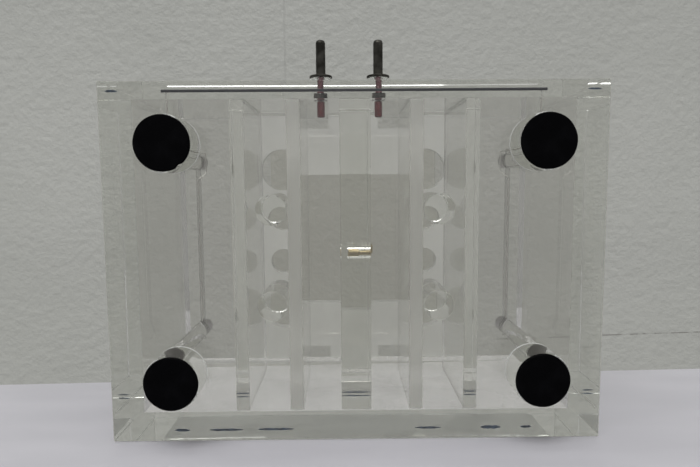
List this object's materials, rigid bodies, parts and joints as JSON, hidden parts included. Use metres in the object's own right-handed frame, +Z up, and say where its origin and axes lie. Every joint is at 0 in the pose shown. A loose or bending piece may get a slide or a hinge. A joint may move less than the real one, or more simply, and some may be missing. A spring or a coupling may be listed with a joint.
{
  "type": "gel electrophoresis tank",
  "caption": "Clear acrylic tank for horizontal gels: open box on round rubber feet, reservoirs at both ends, a lift-out deck and gel tray over plates and pegs, plug pins in the back wall.",
  "frame": {"origin": "on the resting plane under the four feet, under the middle of the bounding box of the tank with its plug pins", "axes": "+X along the tank from the left reservoir to the right one, +Y out of the back wall along the plug pins, +Z up out of the open top"},
  "size_m": [0.204, 0.1666, 0.0923],
  "materials": {
    "clear_acrylic": "polished cast acrylic, clear, faintly grey-green through its edges",
    "sawn_edge_acrylic": "clear acrylic with frosted, sawn edges",
    "hazy_acrylic": "clear acrylic, slightly hazy from use",
    "black_rubber": "matte black rubber with a lightly worn face",
    "dull_nickel": "dull, darkened nickel plating",
    "nickel_nut": "dull nickel plating",
    "red_insulation": "dark red moulded plastic",
    "black_insulation": "black insulation, almost matte",
    "clear_insulation": "clear flexible insulation over a thin wire",
    "platinum": "bare platinum wire",
    "brass": "bright turned brass"
  },
  "bodies": {
    "tank": {"base_plate": "clear_acrylic", "front_wall": "clear_acrylic", "back_wall": "clear_acrylic", "left_end_wall": "clear_acrylic", "right_end_wall": "clear_acrylic", "left_cross_wall": "clear_acrylic", "right_cross_wall": "clear_acrylic", "centre_rib": "clear_acrylic", "floor_peg_front_left": "clear_acrylic", "floor_peg_front_right": "clear_acrylic", "floor_peg_back_left": "clear_acrylic", "floor_peg_back_right": "clear_acrylic", "foot_block_front_left": "clear_acrylic", "foot_block_front_right": "clear_acrylic", "foot_block_back_left": "clear_acrylic", "foot_block_back_right": "clear_acrylic", "left_electrode_post_front": "clear_acrylic", "left_electrode_post_back": "clear_acrylic", "right_electrode_post_front": "clear_acrylic", "right_electrode_post_back": "clear_acrylic", "left_deck_support": "sawn_edge_acrylic", "right_deck_support": "sawn_edge_acrylic", "left_electrode_bar": "hazy_acrylic", "right_electrode_bar": "hazy_acrylic", "foot_pad_front_left": "black_rubber", "foot_pad_front_right": "black_rubber", "foot_pad_back_left": "black_rubber", "foot_pad_back_right": "black_rubber", "left_plug_pin": "dull_nickel", "left_plug_nut": "nickel_nut", "left_plug_sleeve": "red_insulation", "left_plug_washer": "clear_acrylic", "left_lead": "clear_insulation", "left_electrode_wire": "platinum", "right_plug_pin": "dull_nickel", "right_plug_nut": "nickel_nut", "right_plug_sleeve": "red_insulation", "right_plug_washer": "clear_acrylic", "right_lead": "clear_insulation", "right_electrode_wire": "platinum", "channel_seal": "black_insulation", "rib_insert": "brass", "rib_screw": "brass"},
    "deck": {"gel_deck": "hazy_acrylic"},
    "tray": {"gel_tray": "clear_acrylic"}
  },
  "joints": [
    {"name": "deck_lift", "type": "slide", "parent": "tank", "child": "deck", "axis": [0, 0, 1], "range_m": [0, 0.06]},
    {"name": "tray_lift", "type": "slide", "parent": "deck", "child": "tray", "axis": [0, 0, 1], "range_m": [0, 0.05]}
  ]
}
